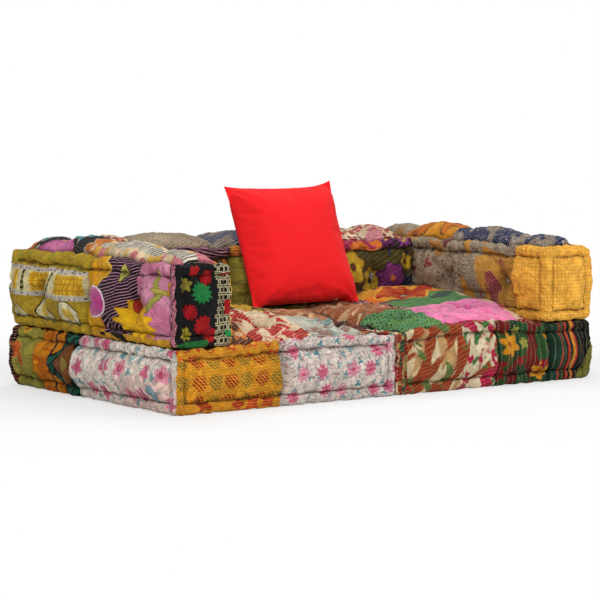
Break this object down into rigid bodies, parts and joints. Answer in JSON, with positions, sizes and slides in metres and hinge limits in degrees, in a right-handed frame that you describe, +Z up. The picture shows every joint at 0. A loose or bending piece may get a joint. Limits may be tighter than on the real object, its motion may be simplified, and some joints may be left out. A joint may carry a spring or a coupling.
{
  "type": "modular pouf",
  "caption": "Low modular floor sofa of boxed, tufted patchwork mattress cushions: two seats, two arm bolsters, a back bolster and a loose throw pillow.",
  "frame": {"origin": "on the floor, under the middle of the group's outline", "axes": "+Z up; +X along the length, to the sitter's left and the viewer's right; -Y is the open front, +Y the back bolster"},
  "size_m": [2.0002, 1.2, 0.7657],
  "materials": {
    "patchwork": "hand-stitched printed cotton patchwork",
    "lining": "plain unbleached cotton",
    "wadding": "cotton and foam wadding",
    "felt": "wool felt",
    "twine": "waxed cotton twine",
    "red_cotton": "plain woven cotton",
    "zip_coil": "nylon coil",
    "zip_metal": "red enamel"
  },
  "bodies": {
    "seat_left": {"seat_left_cover": "patchwork", "seat_left_base_cloth": "lining", "seat_left_filling": "wadding", "seat_left_washers": "felt", "seat_left_twine": "twine"},
    "seat_right": {"seat_right_cover": "patchwork", "seat_right_base_cloth": "lining", "seat_right_filling": "wadding", "seat_right_washers": "felt", "seat_right_twine": "twine"},
    "arm_left": {"arm_left_cover": "patchwork", "arm_left_base_cloth": "lining", "arm_left_filling": "wadding", "arm_left_washers": "felt", "arm_left_twine": "twine"},
    "arm_right": {"arm_right_cover": "patchwork", "arm_right_base_cloth": "lining", "arm_right_filling": "wadding", "arm_right_washers": "felt", "arm_right_twine": "twine"},
    "back": {"back_cover": "patchwork", "back_base_cloth": "lining", "back_filling": "wadding", "back_washers": "felt", "back_twine": "twine"},
    "pillow": {"pillow_cover": "red_cotton", "pillow_filling": "wadding", "pillow_zip": "zip_coil"},
    "zip_slider": {"pillow_zip_slider": "zip_metal"}
  },
  "joints": [
    {"name": "seat_right_slide", "type": "slide", "parent": "seat_left", "child": "seat_right", "axis": [1, 0, 0], "range_m": [0, 0.8]},
    {"name": "arm_left_lift", "type": "slide", "parent": "seat_left", "child": "arm_left", "axis": [0, 0, 1], "range_m": [0, 0.4]},
    {"name": "arm_right_lift", "type": "slide", "parent": "seat_right", "child": "arm_right", "axis": [0, 0, 1], "range_m": [0, 0.4]},
    {"name": "back_lift", "type": "slide", "parent": "seat_left", "child": "back", "axis": [0, 0, 1], "range_m": [0, 0.4]},
    {"name": "pillow_lift", "type": "slide", "parent": "back", "child": "pillow", "axis": [0, 0, 1], "range_m": [0, 0.5]},
    {"name": "zip_slide", "type": "slide", "parent": "pillow", "child": "zip_slider", "axis": [-1, 0, 0], "range_m": [0, 0.3]}
  ]
}
